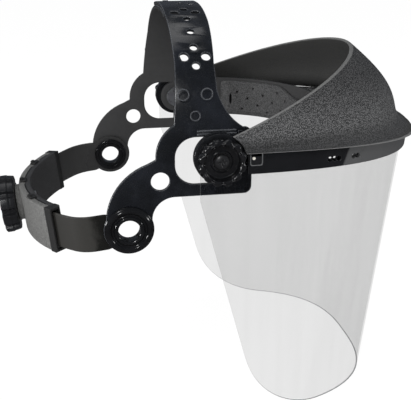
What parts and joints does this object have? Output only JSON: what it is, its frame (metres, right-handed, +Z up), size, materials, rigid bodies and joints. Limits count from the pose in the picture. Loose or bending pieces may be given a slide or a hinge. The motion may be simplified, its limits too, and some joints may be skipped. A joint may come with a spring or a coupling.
{
  "type": "face shield",
  "caption": "Head-worn face shield: adjustable harness with ratchet nape strap, tilting browguard and a clear curved visor.",
  "frame": {"origin": "midpoint between the two pivot knobs, on the visor's tilt axis", "axes": "+Z up, the visor faces -Y, the wearer's right is -X, the tilt axis lies along X"},
  "size_m": [0.2232, 0.2989, 0.2753],
  "materials": {
    "harness": "polished blue-black moulding",
    "sweatband": "pebbled, perforated",
    "browguard": "fine pebble texture",
    "gloss_black": "high gloss",
    "clear_sheet": "clear polycarbonate",
    "black_nylon": "satin nylon",
    "casing_grey": "fine spark texture",
    "casing_dark": "fine spark texture",
    "strap_satin": "satin flexible strap",
    "steel": "zinc plated",
    "brass": "turned",
    "acetal": "natural acetal"
  },
  "bodies": {
    "harness": {"harness": "harness", "sweatband": "sweatband", "pivot_bolt_right": "steel", "pivot_bolt_left": "steel", "friction_washer_right": "acetal", "friction_washer_left": "acetal", "knob_screw_right": "black_nylon", "knob_screw_left": "black_nylon"},
    "visor_assembly": {"browguard": "browguard", "visor_band": "gloss_black", "visor": "clear_sheet", "visor_studs": "black_nylon"},
    "pivot_knob_right": {"pivot_knob_right": "gloss_black", "knob_insert_right": "brass", "spring_washer_right": "steel"},
    "pivot_knob_left": {"pivot_knob_left": "gloss_black", "knob_insert_left": "brass", "spring_washer_left": "steel"},
    "visor_latch_right": {"visor_latch_right": "black_nylon"},
    "visor_latch_left": {"visor_latch_left": "black_nylon"},
    "nape_pivots": {"nape_rivet_right": "gloss_black", "nape_rivet_left": "gloss_black", "rivet_collar_right": "gloss_black", "rivet_collar_left": "gloss_black", "strap_end_right": "strap_satin", "strap_end_left": "strap_satin"},
    "ratchet_casing": {"ratchet_outer_cover": "casing_grey", "ratchet_inner_cover": "casing_dark", "detent_spring": "steel"},
    "nape_strap_right": {"nape_strap_right": "strap_satin"},
    "nape_strap_left": {"nape_strap_left": "strap_satin"},
    "ratchet_knob": {"ratchet_knob": "gloss_black", "ratchet_pinion": "acetal", "ratchet_screw": "steel"}
  },
  "joints": [
    {"name": "visor_tilt", "type": "hinge", "parent": "harness", "child": "visor_assembly", "pos_m": [0, 0, 0], "axis": [-1, 0, 0], "range_deg": [0, 80]},
    {"name": "right_knob_turn", "type": "hinge", "parent": "harness", "child": "pivot_knob_right", "pos_m": [-0.1, 0, 0], "axis": [-1, 0, 0], "range_deg": [-90, 180]},
    {"name": "left_knob_turn", "type": "hinge", "parent": "harness", "child": "pivot_knob_left", "pos_m": [0.1, 0, 0], "axis": [1, 0, 0], "range_deg": [-90, 180]},
    {"name": "right_latch_slide", "type": "slide", "parent": "visor_assembly", "child": "visor_latch_right", "axis": [0, 0, 1], "range_m": [0, 0.0018]},
    {"name": "left_latch_slide", "type": "slide", "parent": "visor_assembly", "child": "visor_latch_left", "axis": [0, 0, 1], "range_m": [0, 0.0018]},
    {"name": "nape_swing", "type": "hinge", "parent": "harness", "child": "nape_pivots", "pos_m": [0, 0.057, -0.0475], "axis": [1, 0, 0], "range_deg": [-20, 30]},
    {"name": "ratchet_tighten", "type": "slide", "parent": "nape_pivots", "child": "ratchet_casing", "axis": [0, -0.9945, 0.1045], "range_m": [-0.0046, 0.0061]},
    {"name": "right_strap_feed", "type": "hinge", "parent": "ratchet_casing", "child": "nape_strap_right", "pos_m": [0, 0.00668, -0.04221], "axis": [0, -0.1045, -0.9945], "range_deg": [-3.23, 4.22]},
    {"name": "left_strap_feed", "type": "hinge", "parent": "ratchet_casing", "child": "nape_strap_left", "pos_m": [0, 0.00668, -0.04221], "axis": [0, 0.1045, 0.9945], "range_deg": [-3.23, 4.22]},
    {"name": "ratchet_knob_turn", "type": "hinge", "parent": "ratchet_casing", "child": "ratchet_knob", "pos_m": [0, 0.1296, -0.05513], "axis": [0, 0.9945, -0.1045], "range_deg": [-51.7, 68.3]}
  ],
  "couplings": [
    {"joint": "right_strap_feed", "follows": "ratchet_tighten", "rad_per_m": 11.494},
    {"joint": "left_strap_feed", "follows": "ratchet_tighten", "rad_per_m": 11.494},
    {"joint": "ratchet_knob_turn", "follows": "ratchet_tighten", "rad_per_m": 192.45}
  ]
}
